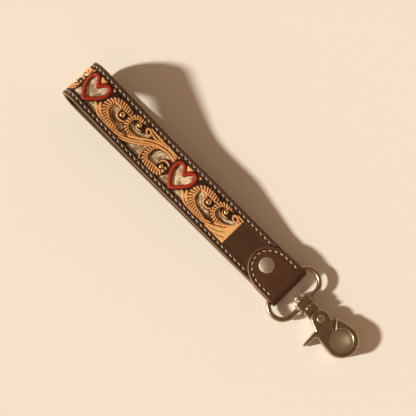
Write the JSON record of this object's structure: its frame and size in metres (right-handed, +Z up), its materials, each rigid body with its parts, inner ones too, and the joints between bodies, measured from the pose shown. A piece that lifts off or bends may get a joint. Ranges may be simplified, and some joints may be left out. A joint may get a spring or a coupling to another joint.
{
  "type": "wristlet keychain",
  "caption": "Folded leather wrist loop with an inlaid tooled panel, riveted end tab, oval ring and swivelling trigger snap hook.",
  "frame": {"origin": "on the table under the middle of the keychain's bounding box, lying flat", "axes": "+X along the strap from the loop's fold to the hook, +Y across the strap, +Z up"},
  "size_m": [0.2172, 0.0368, 0.0235],
  "materials": {
    "lining_leather": "suede side",
    "strap_leather": "satin",
    "hair_hide": "short hair",
    "tooled_leather": "tooled, satin",
    "stud_brass": "polished",
    "thread": "waxed",
    "tab_leather": "satin",
    "antique_nickel": "antiqued",
    "nickel": "polished",
    "spring_steel": "drawn"
  },
  "bodies": {
    "strap": {"strap_lining": "lining_leather", "strap_outer": "strap_leather", "hide_inlay": "hair_hide", "tooled_panel": "tooled_leather", "front_studs": "stud_brass", "back_studs": "stud_brass", "edge_stitching": "thread", "end_tab": "tab_leather", "tab_stitching": "thread", "rivet_post": "antique_nickel", "rivet_cap": "antique_nickel", "rivet_back_cap": "antique_nickel"},
    "ring": {"oval_ring": "nickel"},
    "hook": {"hook_frame": "nickel", "swivel_pin": "nickel", "pivot_rivet": "nickel", "torsion_spring": "spring_steel"},
    "lever": {"trigger_lever": "nickel"}
  },
  "joints": [
    {"name": "ring_swing", "type": "hinge", "parent": "strap", "child": "ring", "pos_m": [0.0557, 0, 0.00406], "axis": [0, -1, 0], "range_deg": [-100, 100]},
    {"name": "hook_swivel", "type": "hinge", "parent": "ring", "child": "hook", "pos_m": [0.07105, 0, 0.00406], "axis": [1, 0, 0], "continuous": true},
    {"name": "trigger", "type": "hinge", "parent": "hook", "child": "lever", "pos_m": [0.08315, 0, 0.00406], "axis": [0, 0, -1], "range_deg": [0, 28], "stiffness_Nm_per_rad": 0.05, "springref_deg": -28.65}
  ]
}
